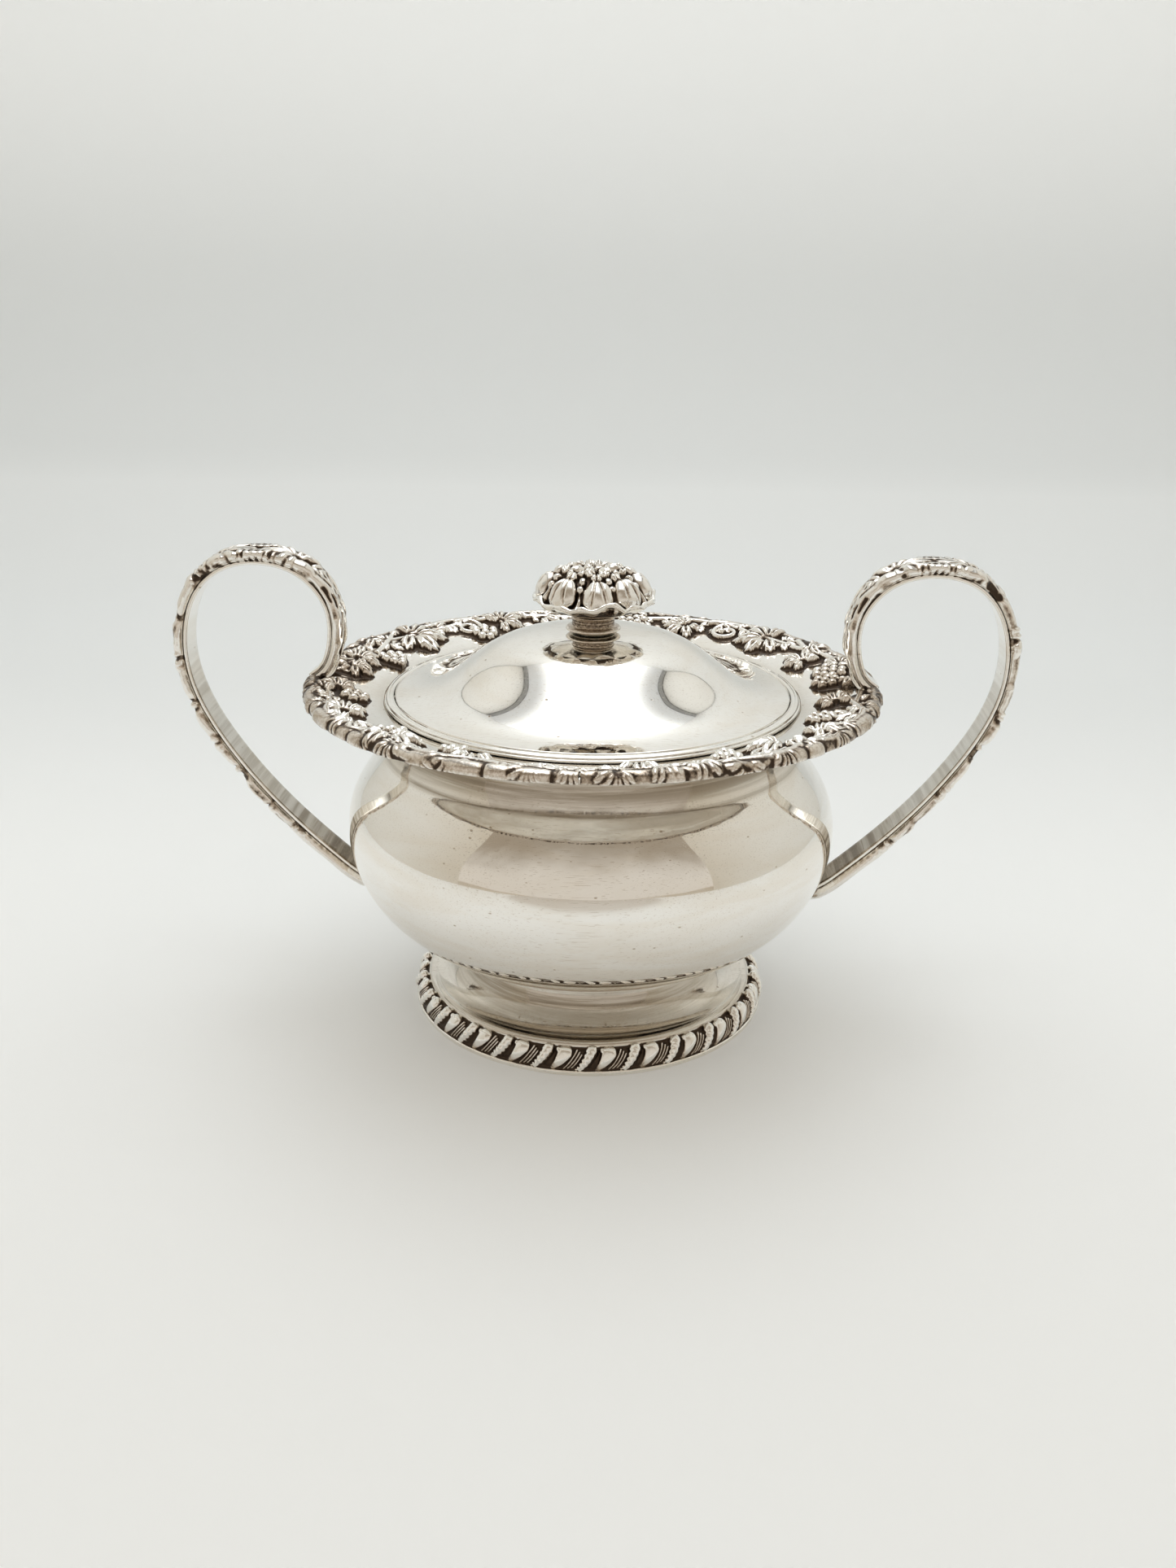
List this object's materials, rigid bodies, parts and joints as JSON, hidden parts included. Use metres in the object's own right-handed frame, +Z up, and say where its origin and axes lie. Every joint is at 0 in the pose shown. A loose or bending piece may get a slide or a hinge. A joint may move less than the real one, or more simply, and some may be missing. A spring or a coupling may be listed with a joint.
{
  "type": "covered sugar bowl",
  "caption": "Round footed sugar bowl with tall loop handles, a wide vine-bordered rim and a domed lid with a flower finial that lifts off.",
  "frame": {"origin": "centre of the flat face that the foot rests on", "axes": "+X through the right handle, +Y away from the viewer, +Z up along the bowl's axis"},
  "size_m": [0.2048, 0.141, 0.116],
  "materials": {
    "polished_silver": "polished silver with light scratches",
    "cast_silver": "cast silver, dark patina left in its hollows",
    "plated_fastener": "dull plated brass"
  },
  "bodies": {
    "bowl": {"bowl_body": "polished_silver", "foot_pedestal": "polished_silver", "foot_base_wire": "polished_silver", "foot_gadroon_border": "cast_silver", "rim_border_back_right": "cast_silver", "rim_border_back_left": "cast_silver", "rim_border_front_left": "cast_silver", "rim_border_front_right": "cast_silver", "handle_strap_right": "polished_silver", "handle_vine_right": "cast_silver", "handle_strap_left": "polished_silver", "handle_vine_left": "cast_silver"},
    "lid": {"lid_dome": "polished_silver", "lid_edge_wire": "polished_silver", "lid_bezel": "polished_silver", "finial_spacer": "plated_fastener", "finial_nut_washer": "plated_fastener", "finial_nut": "plated_fastener", "finial_stud": "plated_fastener", "finial_stem": "polished_silver", "finial_plate": "cast_silver", "finial_petals": "cast_silver", "finial_crown": "cast_silver"}
  },
  "joints": [
    {"name": "lid_lift", "type": "slide", "parent": "bowl", "child": "lid", "axis": [0, 0, 1], "range_m": [0, 0.05]}
  ]
}
